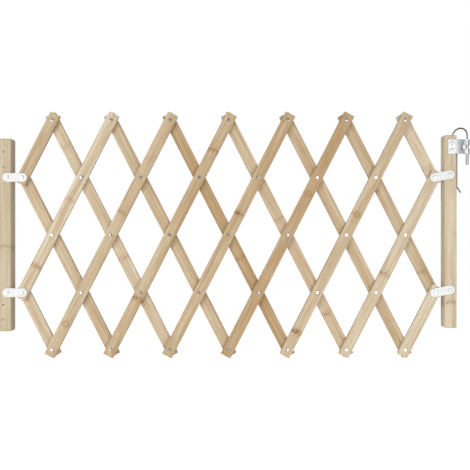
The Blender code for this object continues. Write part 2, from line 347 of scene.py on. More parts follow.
def copy_to(master: Piece, place: Sequence[float],
            turn: Sequence[float] = (0, 0, 0)) -> Piece:
    """Copy a finished model, with a mesh of its own, to its place.

    Args:
        master: the model.
        place: where its origin goes.
        turn: its turn about X, then Y, then Z.

    Returns:
        The copy, with its place in its mesh.
    """
    take_up(master)
    bpy.ops.object.duplicate(linked=False)
    obj = bpy.context.object
    obj.location = place
    obj.rotation_euler = turn
    return fix_place(obj)


def turned_piece(profile: Sequence[tuple[float, float]], sides: int) -> Piece:
    """A turned solid about the Y axis, drawn out of one disc ring by ring.

    Args:
        profile: (radius, depth) of each ring from front to back, none of them on the axis.
        sides: sides of the round.

    Returns:
        The closed solid.
    """
    radius, depth = profile[0]
    bpy.ops.mesh.primitive_circle_add(vertices=sides, radius=radius, fill_type="NGON",
                                      location=(0, depth, 0), rotation=(pi / 2, 0, 0))
    obj = fix_place(bpy.context.object)
    with editing(obj):
        bpy.ops.mesh.select_all(action="SELECT")
        for next_radius, next_depth in profile[1:]:
            bpy.ops.mesh.extrude_region_move(
                TRANSFORM_OT_translate={"value": (0, next_depth - depth, 0)})
            ratio = next_radius / radius
            bpy.ops.transform.resize(value=(ratio, 1, ratio), center_override=(0, next_depth, 0))
            radius, depth = next_radius, next_depth
    face_outwards(obj)
    return obj


def arc_profile(start: tuple[float, float], end: tuple[float, float],
                steps: int) -> list[tuple[float, float]]:
    """A quarter of an ellipse between two (radius, depth) points.

    Args:
        start: where the arc begins, square to the axis.
        end: where it ends, along the axis.
        steps: number of straight runs.

    Returns:
        The points after the start.
    """
    (first_radius, first_depth), (last_radius, last_depth) = start, end
    points = []
    for step in range(1, steps + 1):
        angle = pi / 2 * step / steps
        points.append((first_radius + (last_radius - first_radius) * sin(angle),
                       last_depth + (first_depth - last_depth) * cos(angle)))
    return points


@dataclass(frozen=True)
class RolledSheet:
    """A strip of sheet metal that stands on edge, bent and then rolled round an eye.

    Attributes:
        points: the centre line's bends from above, as (x, y).
        eye: the eye's middle, as (x, y).
        radius: from the eye's middle to the sheet's middle.
        sweep: how far the roll goes round.
        bottom: height of the strip's lower edge.
        top: height of its upper edge.
        thickness: the sheet's thickness.
        steps: number of flats that the roll is made of.
        corner: radius of the corners at the free end.
    """

    points: tuple[Vector, ...]
    eye: Vector
    radius: float
    sweep: float
    bottom: float
    top: float
    thickness: float
    steps: int
    corner: float = 1.4 * MM

    def build(self) -> Piece:
        """Draw the strip out of a plane edge by edge, spin its roll and thicken it.

        Returns:
            The closed strip.
        """
        start, first = self.points[:2]
        bpy.ops.mesh.primitive_plane_add(
            size=1, rotation=(pi / 2, 0, 0),
            location=(*((start + first) / 2), (self.top + self.bottom) / 2))
        obj = bpy.context.object
        obj.scale = ((first - start).length, self.top - self.bottom, 1)
        fix_place(obj)
        with editing(obj, Pick.EDGES):
            pick_edges(obj, lambda middle, way: abs(way.z) > 0.9
                       and (middle.xy - first).length < MM)
            here = first
            for point in (*self.points[2:], self.tangent()):
                step = point - here
                bpy.ops.mesh.extrude_region_move(
                    TRANSFORM_OT_translate={"value": (step.x, step.y, 0)})
                here = point
            bpy.ops.mesh.spin(steps=self.steps, angle=-self.sweep, axis=(0, 0, 1),
                              center=(*self.eye, self.bottom))
        self.round_corners(obj)
        apply_modifier(obj, "SOLIDIFY", thickness=self.thickness, offset=0.0,
                       use_even_offset=True)
        face_outwards(obj)
        return obj

    def tangent(self) -> Vector:
        """Where the straight sheet meets its roll.

        Returns:
            The point, as (x, y).
        """
        to_eye = self.eye - self.points[-1]
        heading = atan2(to_eye.y, to_eye.x) - asin(self.radius / to_eye.length)
        begin = heading - pi / 2
        return self.eye + self.radius * Vector((cos(begin), sin(begin)))

    def round_corners(self, obj: Piece) -> None:
        """Round the two corners at the strip's free end.

        Args:
            obj: the strip, before it is thickened.
        """
        with editing(obj, Pick.CORNERS):
            bm = bmesh.from_edit_mesh(obj.data)
            for vert in bm.verts:
                vert.select_set((vert.co.xy - self.points[0]).length < MM)
            bmesh.update_edit_mesh(obj.data)
            bpy.ops.mesh.bevel(affect="VERTICES", offset=self.corner, segments=4)


def hand_over(obj: Piece, name: str, body: str, material: bpy.types.Material,
              sharp: float = 34.0) -> None:
    """Shade, paint and name a finished piece, and give it to its body.

    Args:
        obj: the piece, with its place in its mesh.
        name: its name. It stands for the CAD node of that name, where there is one.
        body: the CAD body that it rides on.
        material: its material.
        sharp: edges that turn by more than this many degrees stay sharp.
    """
    take_up(obj)
    bpy.ops.object.shade_smooth_by_angle(angle=radians(sharp))
    apply_modifier(obj, "WEIGHTED_NORMAL", keep_sharp=True)
    obj.name = name
    obj.data.name = name
    obj.data.materials.clear()
    obj.data.materials.append(material)
    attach(obj, body)
    if name in frame["nodes"]:
        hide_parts(name)
    log.info("%-24s %6d faces, rides on %s", name, len(obj.data.polygons), body)


# ---- Finishes -------------------------------------------------------------------------------


def paint(red: int, green: int, blue: int) -> Colour:
    """A colour from its usual 0 to 255 values, as linear light."""
    def linear(level: int) -> float:
        """One channel."""
        share = level / 255
        return share / 12.92 if share <= 0.04045 else ((share + 0.055) / 1.055) ** 2.4
    return linear(red), linear(green), linear(blue), 1.0


class Graph:
    """Adds and joins the nodes of one material."""

    def __init__(self, name: str) -> None:
        """Start from a plain shader.

        Args:
            name: the material's name.
        """
        self.material = bpy.data.materials.new(name)
        self.material.use_nodes = True
        self.tree = self.material.node_tree
        self.shader = self.tree.nodes["Principled BSDF"]

    def add(self, kind: str, inputs: Optional[dict[Union[int, str], object]] = None,
            **settings: object) -> bpy.types.Node:
        """Add a node.

        Args:
            kind: the node's type, without the ShaderNode in front.
            inputs: values or sockets for its inputs, by name or number.
            settings: its own settings.

        Returns:
            The node.
        """
        node = self.tree.nodes.new("ShaderNode" + kind)
        for name, value in settings.items():
            setattr(node, name, value)
        for key, value in (inputs or {}).items():
            self.feed(node.inputs[key], value)
        return node

    def feed(self, socket: Socket, value: object) -> None:
        """Join a socket to an input, or set the input's own value.

        Args:
            socket: the input.
            value: another node's output, or a plain value.
        """
        if isinstance(value, Socket):
            self.tree.links.new(value, socket)
        else:
            socket.default_value = value

    def math(self, operation: str, first: Value, second: Value = 0.0,
             third: Value = 0.0) -> Socket:
        """One step of arithmetic."""
        return self.add("Math", {0: first, 1: second, 2: third}, operation=operation).outputs[0]

    def spread(self, value: Socket, low: float, high: float) -> Socket:
        """Bring a value that goes from 0 to 1 between two levels."""
        return self.math("MULTIPLY_ADD", value, high - low, low)

    def fade(self, value: Value, nothing: float, full: float) -> Socket:
        """A smooth share from 0 to 1 as a value goes from one level to another."""
        return self.add("MapRange", {"Value": value, "From Min": nothing, "From Max": full},
                        interpolation_type="SMOOTHSTEP").outputs[0]

    def mix(self, share: Value, first: Union[Colour, Socket],
            second: Union[Colour, Socket]) -> Socket:
        """Mix two colours by a share, which is kept between 0 and 1."""
        return self.add("Mix", {0: share, 6: first, 7: second}, data_type="RGBA").outputs[2]

    def tint(self, colour: Socket, over: Colour, share: Socket, weight: float) -> Socket:
        """Lay a colour over another one, by a share and a weight."""
        return self.mix(self.math("MULTIPLY", share, weight), colour, over)

    def stretch(self, point: Socket, factors: Sequence[float]) -> Socket:
        """Scale a point's coordinates."""
        return self.add("VectorMath", {0: point, 1: factors}, operation="MULTIPLY").outputs[0]

    def place(self, middle: Sequence[float] = (0, 0, 0), turn: float = 0.0) -> Socket:
        """A point on the piece, counted from a middle and turned about Y to lie along it."""
        spot = self.add("TexCoord").outputs["Object"]
        return self.add("Mapping", {"Vector": spot, "Location": middle, "Rotation": (0, turn, 0)},
                        vector_type="TEXTURE").outputs[0]

    def noise(self, point: Socket, waves: Sequence[float], detail: float = 2.0,
              roughness: float = 0.5, seed: float = 0.0) -> Socket:
        """Noise from 0 to 1 with its own waves a metre in X, Y and Z."""
        return self.add("TexNoise", {"Vector": self.stretch(point, waves), "W": seed, "Scale": 1.0,
                                     "Detail": detail, "Roughness": roughness},
                        noise_dimensions="4D").outputs[0]

    def bump(self, height: Socket, depth: float, strength: float) -> Socket:
        """A relief of a given depth."""
        return self.add("Bump", {"Strength": strength, "Distance": depth,
                                 "Height": height}).outputs[0]

    def dress(self, **inputs: object) -> bpy.types.Material:
        """Feed the shader.

        Args:
            inputs: values or sockets by the input's name, with underscores for spaces.

        Returns:
            The material.
        """
        for name, value in inputs.items():
            self.feed(self.shader.inputs[name.replace("_", " ")], value)
        return self.material


@dataclass(frozen=True)
class Grain:
    """How the bamboo runs in one piece.

    Attributes:
        start: the point that lengths along the piece are counted from.
        turn: the turn about Y that lays the X axis along the piece.
        ends: the lengths at which the piece ends.
        rings: (length, strength) of each node of the cane that shows as a ring.
        knots: (length, strength) of each bud scar that shows as a whorl.
        tone: how honey-coloured the piece is, from 0 to 1.
        seed: makes each piece's grain its own.
    """

    start: tuple[float, float, float]
    turn: float
    ends: tuple[float, float]
    rings: tuple[tuple[float, float], ...]
    knots: tuple[tuple[float, float], ...]
    tone: float
    seed: int


@dataclass(frozen=True)
class Streaks:
    """One size of streaks in the wood.

    Attributes:
        waves: waves a metre along, through and across the piece.
        weight: how strongly the streaks show.
        detail: number of finer sizes in them.
        roughness: how strong the finer sizes are.
        levels: where the streaks begin and where they are full, on the noise's own scale.
        shift: keeps them apart from other streaks.
    """

    waves: tuple[float, float, float]
    weight: float = 1.0
    detail: float = 2.0
    roughness: float = 0.5
    levels: tuple[float, float] = (0.0, 1.0)
    shift: float = 0.0

    def field(self, graph: Graph, point: Socket, seed: float) -> Socket:
        """The streaks' noise, from 0 to 1."""
        return graph.noise(point, self.waves, self.detail, self.roughness, seed + self.shift)


@dataclass(frozen=True)
class Band:
    """One band of a ring or a whorl.

    Attributes:
        outer: distance from the ring's middle at which the band begins.
        inner: distance at which it is full.
        weight: how strongly it shows.
        mottled: whether it is broken up into spots.
    """

    outer: float
    inner: float
    weight: float
    mottled: bool = True


@dataclass(frozen=True)
class BambooFinish:
    """Strips of bamboo glued side by side, planed and given a satin lacquer.

    Attributes:
        pale: the wood where it is palest.
        honey: the wood where it is yellowest.
        rosy: its pinkish streaks.
        ring: the dark of the cane's rings.
        smudge: the brown about them.
        end_pale: the sawn ends.
        end_dots: the fibre bundles that show there.
        strip: width of a glued strip.
        strip_weight: how much the strips differ in tone.
        joint_weight: how strongly the joints between strips show.
        paleness: how much paler all pieces are than their tone says.
        roughness: lowest and highest roughness.
        knot_radius: radius of a whorl.
    """

    pale: Colour = paint(213, 200, 174)
    honey: Colour = paint(172, 141, 98)
    rosy: Colour = paint(196, 166, 134)
    ring: Colour = paint(112, 80, 46)
    smudge: Colour = paint(158, 116, 70)
    end_pale: Colour = paint(190, 165, 125)
    end_dots: Colour = paint(112, 82, 55)
    strip: float = 8.8 * MM
    strip_weight: float = 0.36
    joint_weight: float = 0.30
    paleness: float = 0.03
    roughness: tuple[float, float] = (0.50, 0.74)
    knot_radius: float = 6.5 * MM

    # Streaks in the wood, from broad clouds to single threads.
    CLOUD = Streaks((7, 30, 60), 1.10, 3.0, 0.55)
    FIBRES = Streaks((11, 330, 330), 1.60, 3.0, 0.6)
    THREADS = Streaks((45, 1500, 1500), 0.34, levels=(0.56, 0.72))
    BLUSH = Streaks((9, 160, 160), 0.32, levels=(0.45, 0.65), shift=3)
    VEINS = Streaks((6, 430, 430), 0.42, levels=(0.53, 0.66), shift=9)
    MOTTLE = Streaks((120, 230, 230), roughness=0.6, levels=(0.34, 0.60), shift=5)

    # What a ring is drawn with, from the outside in, and a whorl's rim.
    PATCH = Band(13.0 * MM, 1.0 * MM, 0.75)
    CORE = Band(5.5 * MM, 0.5 * MM, 0.48)
    LINE = Band(2.08 * MM, 0.39 * MM, 0.20, mottled=False)
    RIM = Band(3.2 * MM, 0.6 * MM, 0.55, mottled=False)

    def material(self, name: str, grain: Grain) -> bpy.types.Material:
        """Make the finish for one piece.

        Args:
            name: the material's name.
            grain: how the bamboo runs in the piece.

        Returns:
            The material.
        """
        graph = Graph(name)
        point = graph.place(grain.start, grain.turn)
        axes = graph.add("SeparateXYZ", {0: point}).outputs
        along, across = axes[0], axes[2]
        seed = 7.3 * grain.seed
        cloud, fibres, threads, blush, veins = (
            streaks.field(graph, point, seed)
            for streaks in (self.CLOUD, self.FIBRES, self.THREADS, self.BLUSH, self.VEINS))
        strips, joint = self.strips(graph, across, grain.seed)
        weights = (self.CLOUD.weight, self.FIBRES.weight, self.strip_weight)
        tone = grain.tone - self.paleness - sum(weights) / 2
        for level, weight in zip((cloud, fibres, strips), weights):
            tone = graph.math("MULTIPLY_ADD", level, weight, tone)
        colour = graph.mix(tone, self.pale, self.honey)
        for streaks, level, shade in ((self.BLUSH, blush, self.rosy),
                                      (self.THREADS, threads, self.honey),
                                      (self.VEINS, veins, self.smudge)):
            colour = graph.tint(colour, shade, graph.fade(level, *streaks.levels), streaks.weight)
        colour = graph.tint(colour, self.ring, joint, self.joint_weight)
        if grain.rings or grain.knots:
            mottle = self.MOTTLE.field(graph, point, seed)
            colour = self.ringed(graph, colour, along, across, mottle, grain)
        colour = self.ended(graph, colour, along, point, grain)
        height = graph.math("MULTIPLY_ADD", threads, 0.5, fibres)
        height = graph.math("MULTIPLY_ADD", joint, -0.6, height)
        return graph.dress(Base_Color=colour, Roughness=graph.spread(threads, *self.roughness),
                           IOR=1.4, Normal=graph.bump(height, 0.12 * MM, 0.55))

    def strips(self, graph: Graph, across: Socket, seed: int) -> tuple[Socket, Socket]:
        """The glued strips that make up the width.

        Args:
            graph: the material's nodes.
            across: place across the width.
            seed: the piece's number, which also moves its joints.

        Returns:
            Each strip's own level, and a thin line at the joints between strips.
        """
        shift = 0.5 + (seed * 0.37) % 0.6
        count = graph.math("MULTIPLY_ADD", across, 1 / self.strip, shift)
        number = graph.math("FLOOR", count)
        level = graph.add("TexWhiteNoise", {"W": graph.math("ADD", number, seed * 5.1)},
                          noise_dimensions="1D").outputs[0]
        share = graph.math("FRACT", count)
        edge = graph.math("MINIMUM", share, graph.math("SUBTRACT", 1.0, share))
        return level, graph.fade(edge, 0.035, 0.012)

    def ringed(self, graph: Graph, colour: Socket, along: Socket, across: Socket,
               mottle: Socket, grain: Grain) -> Socket:
        """Draw the cane's rings, a mottled brown patch with a thin darker line, and its whorls.

        Args:
            graph: the material's nodes.
            colour: the wood's colour without rings.
            along: place along the piece.
            across: place across the piece.
            mottle: noise a few millimetres wide.
            grain: how the bamboo runs.

        Returns:
            The wood's colour with rings.
        """
        squared = graph.math("MULTIPLY", across, across)
        bow = graph.math("MULTIPLY", squared, 16.0)
        waver = graph.spread(mottle, -6 * MM, 6 * MM)
        spots = graph.fade(mottle, *self.MOTTLE.levels)
        line = graph.math("ADD", along, graph.math("ADD", bow, waver))
        bands = ((self.PATCH, self.smudge), (self.CORE, self.ring), (self.LINE, self.ring))
        for place, strength in grain.rings:
            distance = graph.math("ABSOLUTE", graph.math("SUBTRACT", line, place))
            for band, shade in bands:
                share = graph.fade(distance, band.outer, band.inner)
                if band.mottled:
                    share = graph.math("MULTIPLY", share, spots)
                colour = graph.tint(colour, shade, share, band.weight * strength)
        for place, strength in grain.knots:
            offset = graph.math("SUBTRACT", line, place)
            squares = graph.math("MULTIPLY_ADD", offset, offset, squared)
            rim = graph.math("SUBTRACT", graph.math("SQRT", squares), self.knot_radius)
            whorl = graph.fade(graph.math("ABSOLUTE", rim), self.RIM.outer, self.RIM.inner)
            colour = graph.tint(colour, self.smudge, whorl, self.RIM.weight * strength)
        return colour

    def ended(self, graph: Graph, colour: Socket, along: Socket, point: Socket,
              grain: Grain) -> Socket:
        """Show the cane's fibre bundles as dots on the sawn ends.

        Args:
            graph: the material's nodes.
            colour: the wood's colour elsewhere.
            along: place along the piece.
            point: place on the piece.
            grain: how the bamboo runs.

        Returns:
            The colour with sawn ends.
        """
        flat = graph.stretch(point, (0, 1, 1))
        dots = graph.add("TexVoronoi", {"Vector": flat, "Scale": 1050.0}).outputs[0]
        sawn = graph.mix(graph.fade(dots, 0.42, 0.18), self.end_pale, self.end_dots)
        left, right = grain.ends
        low = graph.fade(along, left + 0.9 * MM, left + 0.4 * MM)
        high = graph.fade(along, right - 0.9 * MM, right - 0.4 * MM)
        return graph.mix(graph.math("MAXIMUM", low, high), colour, sawn)


@dataclass(frozen=True)
class Finish:
    """A finish of two colours with a fine relief.

    Attributes:
        bright: its colour.
        dull: its colour where it is dull.
        roughness: lowest and highest roughness.
        relief: the relief's depth.
        strength: how strongly the relief shows.
    """

    bright: Colour
    dull: Colour
    roughness: tuple[float, float]
    relief: float
    strength: float = 0.5

    # The shader's other inputs.
    SHADER = {"Metallic": 1.0}

    def pattern(self, graph: Graph, point: Socket, seed: float) -> tuple[Socket, Socket, Socket]:
        """Shares from 0 to 1 of dullness and of roughness, and the relief's height."""
        raise NotImplementedError

    def material(self, name: str, seed: float = 0.0) -> bpy.types.Material:
        """Make the finish.

        Args:
            name: the material's name.
            seed: sets its pattern apart.

        Returns:
            The material.
        """
        graph = Graph(name)
        dullness, rough, height = self.pattern(graph, graph.place(), seed)
        return graph.dress(Base_Color=graph.mix(dullness, self.bright, self.dull),
                           Roughness=graph.spread(rough, *self.roughness),
                           Normal=graph.bump(height, self.relief, self.strength), **self.SHADER)


@dataclass(frozen=True)
class SteelFinish(Finish):
    """Plated steel, with fine scratches and slightly uneven plating.

    Attributes:
        scratches: the scratches' waves a metre in X, Y and Z.
        patches: the plating's waves a metre.
    """

    bright: Colour = paint(212, 211, 208)
    dull: Colour = paint(184, 183, 180)
    roughness: tuple[float, float] = (0.12, 0.26)
    relief: float = 0.012 * MM
    scratches: tuple[float, float, float] = (900, 900, 900)
    patches: tuple[float, float, float] = (120, 120, 120)

    def pattern(self, graph: Graph, point: Socket, seed: float) -> tuple[Socket, Socket, Socket]:
        """Scratches, over plating that is worn in patches.

        Args:
            graph: the material's nodes.
            point: place on the piece.
            seed: sets the pattern apart.

        Returns:
            Shares of dullness and of roughness, and the relief's height.
        """
        scratch = graph.noise(point, self.scratches, 3.0, 0.6, seed)
        patch = graph.noise(point, self.patches, 3.0, 0.6, seed + 0.5)
        worn = graph.math("MULTIPLY_ADD", scratch, 0.5, graph.math("MULTIPLY", patch, 0.5))
        return graph.fade(worn, 0.35, 0.68), worn, scratch


@dataclass(frozen=True)
class SheetFinish(Finish):
    """Zinc-plated sheet steel with the soft crystals of its coating.

    Attributes:
        crystal: size of a crystal.
        warp: how far the crystals' edges waver.
        rolling: the rolling marks' waves a metre.
    """

    bright: Colour = paint(210, 211, 212)
    dull: Colour = paint(166, 168, 170)
    roughness: tuple[float, float] = (0.24, 0.40)
    relief: float = 0.02 * MM
    crystal: float = 3.2 * MM
    warp: float = 1.2 * MM
    rolling: tuple[float, float, float] = (60, 60, 1400)

    def pattern(self, graph: Graph, point: Socket, seed: float) -> tuple[Socket, Socket, Socket]:
        """Crystals with marks from the rolling mill.

        Args:
            graph: the material's nodes.
            point: place on the piece.
            seed: sets the pattern apart.

        Returns:
            Shares of dullness and of roughness, and the relief's height.
        """
        warp = graph.math("MULTIPLY", graph.noise(point, (300, 300, 300), seed=seed), self.warp)
        warped = graph.add("VectorMath", {0: point, 1: warp}, operation="ADD").outputs[0]
        cells = graph.add("TexVoronoi", {"Vector": warped, "Scale": 1 / self.crystal})
        level = graph.add("SeparateColor", {0: cells.outputs["Color"]}).outputs[0]
        marks = graph.noise(point, self.rolling, 3.0, 0.6, seed)
        mixed = graph.math("MULTIPLY_ADD", level, 0.45, graph.math("MULTIPLY", marks, 0.55))
        return mixed, mixed, marks


@dataclass(frozen=True)
class PlasticFinish(Finish):
    """White moulded nylon with a fine spark-eroded texture.

    Attributes:
        clouds: waves a metre of the greyer clouds.
        texture: waves a metre of the texture.
    """

    bright: Colour = paint(225, 227, 225)
    dull: Colour = paint(216, 218, 217)
    roughness: tuple[float, float] = (0.30, 0.46)
    relief: float = 0.02 * MM
    strength: float = 0.45
    clouds: tuple[float, float, float] = (90, 90, 90)
    texture: tuple[float, float, float] = (2600, 2600, 2600)

    SHADER = {"IOR": 1.5, "Subsurface_Weight": 0.08,
              "Subsurface_Radius": (1.2 * MM, 1.2 * MM, 1.2 * MM)}

    def pattern(self, graph: Graph, point: Socket, seed: float) -> tuple[Socket, Socket, Socket]:
        """Faint clouds and a fine texture.

        Args:
            graph: the material's nodes.
            point: place on the piece.
            seed: sets the pattern apart.

        Returns:
            Shares of greyness and of roughness, and the relief's height.
        """
        cloud = graph.noise(point, self.clouds, 3.0, seed=seed)
        texture = graph.noise(point, self.texture, roughness=0.6, seed=seed)
        return graph.fade(cloud, 0.4, 0.75), texture, texture


# ---- Lattice --------------------------------------------------------------------------------


@dataclass
class Slats:
    """The lattice's slats, front and back.

    Attributes:
        grid: the pivots.
        finish: the bamboo.
        overhang: slat left beyond its end pivots.
        corner: radius of the corners, seen from the front.
        easing: radius of the long edges.
        hole: radius of the rivet holes.
    """

    grid: Grid
    finish: BambooFinish
    overhang: float = 16.2 * MM
    corner: float = 2.2 * MM
    easing: float = 1.1 * MM
    hole: float = 2.3 * MM

    # Each slat's rings and whorls: the length from its first pivot, and how strong it is.
    RINGS = {
        "front_bar_2": ((0.070, 0.6), (0.243, 0.4)), "front_bar_3": ((0.069, 0.15), (0.359, 0.5)),
        "front_bar_4": ((0.135, 1.1), (0.523, 0.7)), "front_bar_5": ((0.356, 1.4),),
        "front_bar_6": ((0.407, 0.2),), "front_bar_7": ((0.048, 1.3), (0.354, 0.4)),
        "front_bar_8": ((0.200, 0.6),), "back_bar_3": ((0.067, 0.3), (0.362, 0.5)),
        "back_bar_5": ((0.362, 0.5),), "back_bar_6": ((0.259, 0.35), (0.507, 0.7)),
        "back_bar_8": ((0.183, 0.35), (0.396, 0.45)), "back_bar_9": ((0.124, 0.3),),
    }
    KNOTS = {"front_bar_3": ((0.069, 0.8),), "front_bar_6": ((0.407, 1.0),),
             "front_bar_7": ((0.354, 0.9), (0.340, 0.5))}
    # How honey-coloured each slat is, from the hinge post on.
    TONES = {
        Layer.FRONT: (0.50, 0.10, 0.46, 0.74, 0.75, 0.82, 0.55, 0.16, 0.02),
        Layer.BACK: (0.20, 0.58, 0.50, 0.65, 1.10, 0.55, 0.60, 0.55, 0.02),
    }
    FIRST_SEED = {Layer.FRONT: 0, Layer.BACK: 20}

    def model(self, pivots: int) -> Piece:
        """Model one slat along X from its first pivot, with its front face on Y = 0.

        Args:
            pivots: number of rivet holes.

        Returns:
            The slat.
        """
        width, thick = self.section()
        length = (pivots - 1) * self.grid.pitch
        obj = add_block((length + 2 * self.overhang, thick, width), (length / 2, thick / 2, 0))
        round_edges(obj, Axis.Y, self.corner, 4)
        round_edges(obj, Axis.Y, self.easing, 3, others=True)
        carve(obj, [add_drill(self.hole, (index * self.grid.pitch, thick / 2, 0), 3 * thick)
                    for index in range(pivots)])
        return obj

    def section(self) -> tuple[float, float]:
        """Work out the section from the shortest CAD slat, which leans in its box.

        Returns:
            A slat's width and thickness.
        """
        low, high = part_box("front_bar_1")
        lean = self.grid.lean
        length = self.grid.pitch + 2 * self.overhang
        width = (high.z - low.z - length * sin(lean)) / cos(lean)
        trimmed = 2 * self.corner * (sin(lean) + cos(lean) - 1)
        return width + trimmed / cos(lean), high.y - low.y

    def build(self) -> None:
        """Model a slat of each length once, then copy it to every place it has."""
        masters = {count: self.model(count) for count in (2, 4, 5)}
        for layer in Layer:
            turn = layer.lean_sign * self.grid.lean
            for number, tone in enumerate(self.TONES[layer], 1):
                name = f"{layer.value}_bar_{number}"
                pivots = self.grid.slat_pivots(layer, number)
                x, z = self.grid.pivot(*pivots[0])
                start = (x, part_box(name)[0].y, z)
                length = (len(pivots) - 1) * self.grid.pitch
                grain = Grain(start, turn, (-self.overhang, length + self.overhang),
                              self.RINGS.get(name, ()), self.KNOTS.get(name, ()), tone,
                              number + self.FIRST_SEED[layer])
                hand_over(copy_to(masters[len(pivots)], start, (0, turn, 0)), name, name,
                          self.finish.material("bamboo_" + name, grain))
        for master in masters.values():
            bpy.data.objects.remove(master)


@dataclass
class Rivets:
    """A rivet and a washer at each crossing.

    Attributes:
        grid: the pivots.
        finish: the plated steel.
        head: radius of the head.
        rise: how far the head stands up.
        shank: radius of the shank.
        tail: radius of the clinched tail.
        washer: outer radius of the washer.
        washer_thick: thickness of the washer.
        gap: how far the head stands off the wood.
        play: room between the back slats, the washer and the tail.
        sides: sides of the rounds.
    """

    grid: Grid
    finish: SteelFinish
    head: float = 4.0 * MM
    rise: float = 1.9 * MM
    shank: float = 1.8 * MM
    tail: float = 3.3 * MM
    washer: float = 5.0 * MM
    washer_thick: float = 0.7 * MM
    gap: float = 0.3 * MM
    play: float = 0.1 * MM
    sides: int = 28

    def rivet(self, surface: float) -> Piece:
        """Model a rivet with a nearly flat head in front and a hollow clinched tail.

        Args:
            surface: depth of the surface under the head.

        Returns:
            The rivet, on the Y axis.
        """
        under = surface - self.gap
        crown = (0.80 * self.head, under - 0.97 * self.rise)
        profile = [(0.12 * self.head, under - self.rise), crown]
        profile += arc_profile(crown, (self.head, under - 0.25 * self.rise), 4)
        tail = self.washer_front() + self.washer_thick + self.play
        profile += [(self.head, under), (self.shank, under), (self.shank, tail)]
        profile += [(share * self.tail, tail + depth) for share, depth in (
            (1.0, 0.0), (1.0, 0.4 * MM), (0.85, 0.8 * MM), (0.6, 0.8 * MM), (0.4, 0.3 * MM),
            (0.1, -0.4 * MM))]
        return turned_piece(profile, self.sides)

    def washer_ring(self) -> Piece:
        """Model a washer against the back slats.

        Returns:
            The washer, on the Y axis.
        """
        front = self.washer_front()
        back = front + self.washer_thick
        obj = turned_piece([(self.washer - 0.15 * MM, front), (self.washer, front + 0.15 * MM),
                            (self.washer, back - 0.2 * MM), (self.washer - 0.2 * MM, back)],
                           self.sides)
        carve(obj, [add_drill(self.shank + 0.3 * MM, (0, front, 0), 4 * MM, self.sides)])
        return obj

    def washer_front(self) -> float:
        """Depth of the washers' front faces, just behind the back slats."""
        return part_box("back_bar_1")[1].y + self.play

    def build(self) -> None:
        """Model each kind once and copy it to every crossing."""
        plain = self.rivet(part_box("front_bar_1")[0].y)
        through_link = self.rivet(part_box("link_upper_left")[0].y)
        ring = self.washer_ring()
        steel = self.finish.material("rivet_steel")
        for column, row in self.grid.crossings():
            x, z = self.grid.pivot(column, row)
            kind = through_link if column in (0, COLUMNS - 1) else plain
            for word, master in (("rivet", kind), ("washer", ring)):
                hand_over(copy_to(master, (x, 0, z)), f"{word}_c{column}_r{row}",
                          f"front_bar_{(column + row) // 2}", steel)
        for master in (plain, through_link, ring):
            bpy.data.objects.remove(master)


# ---- Screws and link plates -----------------------------------------------------------------


@dataclass
class Screws:
    """Pan-head screws with a cross recess.

    Attributes:
        finish: the plated steel.
        head: radius of the head.
        rise: how far the head stands up.
        frame_rise: the same on the CAD screws.
        shank: radius of the shank.
        recess: length of the recess, across.
        slot: width of the recess.
        recess_depth: depth of the recess.
        sides: sides of the round.
    """

    finish: SteelFinish
    head: float = 3.6 * MM
    rise: float = 2.0 * MM
    frame_rise: float = 2.1 * MM
    shank: float = 1.7 * MM
    recess: float = 3.7 * MM
    slot: float = 0.85 * MM
    recess_depth: float = 1.1 * MM
    sides: int = 28

    def model(self, length: float) -> Piece:
        """Model a screw on the Y axis, with the underside of its head on Y = 0.

        Args:
            length: from under the head to the tip.

        Returns:
            The screw.
        """
        crown = (0.55 * self.head, -self.rise)
        profile = [(0.1 * self.head, -self.rise), crown]
        profile += arc_profile(crown, (self.head, -0.35 * self.rise), 6)
        profile += [(self.head, 0.0), (self.shank, 0.0), (self.shank, length - 4 * self.shank),
                    (0.15 * self.shank, length)]
        obj = turned_piece(profile, self.sides)
        for size in ((self.recess, self.slot), (self.slot, self.recess)):
            carve(obj, [self.recess_cutter(*size)])
        return obj

    def recess_cutter(self, wide: float, tall: float) -> Piece:
        """One bar of the recess's cross, narrower at its bottom.

        Args:
            wide: size in X at the head's top.
            tall: size in Z at the head's top.

        Returns:
            The cutter.
        """
        deep = 2 * self.recess_depth
        obj = add_block((wide, deep, tall), (0, -self.rise, 0))
        with editing(obj):
            pick_faces(obj, lambda middle, normal: normal.y > 0.9)
            bpy.ops.transform.resize(value=(0.6, 1, 0.6),
                                     center_override=(0, -self.rise + deep / 2, 0))
        return obj

    def build(self) -> None:
        """Model a screw of each length once and copy it to every place it has."""
        steel = self.finish.material("screw_steel", 3)
        masters: dict[float, Piece] = {}
        for number, node in enumerate(sorted(name for name in frame["nodes"] if "screw" in name)):
            low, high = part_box(node)
            length = round(high.y - low.y - self.frame_rise, 4)
            if length not in masters:
                masters[length] = self.model(length)
            from_behind = node.startswith("guide")
            seat = high.y - self.frame_rise if from_behind else low.y + self.frame_rise
            middle = middle_of(node)
            obj = copy_to(masters[length], (middle.x, seat, middle.z),
                          (0, radians(23 + 41 * number), pi if from_behind else 0))
            hand_over(obj, node, self.body_of(node), steel)
        for master in masters.values():
            bpy.data.objects.remove(master)

    @staticmethod
    def body_of(node: str) -> str:
        """The body that holds a CAD node."""
        bodies = frame["record"]["behaviour"]["bodies"]
        return next(body for body, members in bodies.items() if node in members)


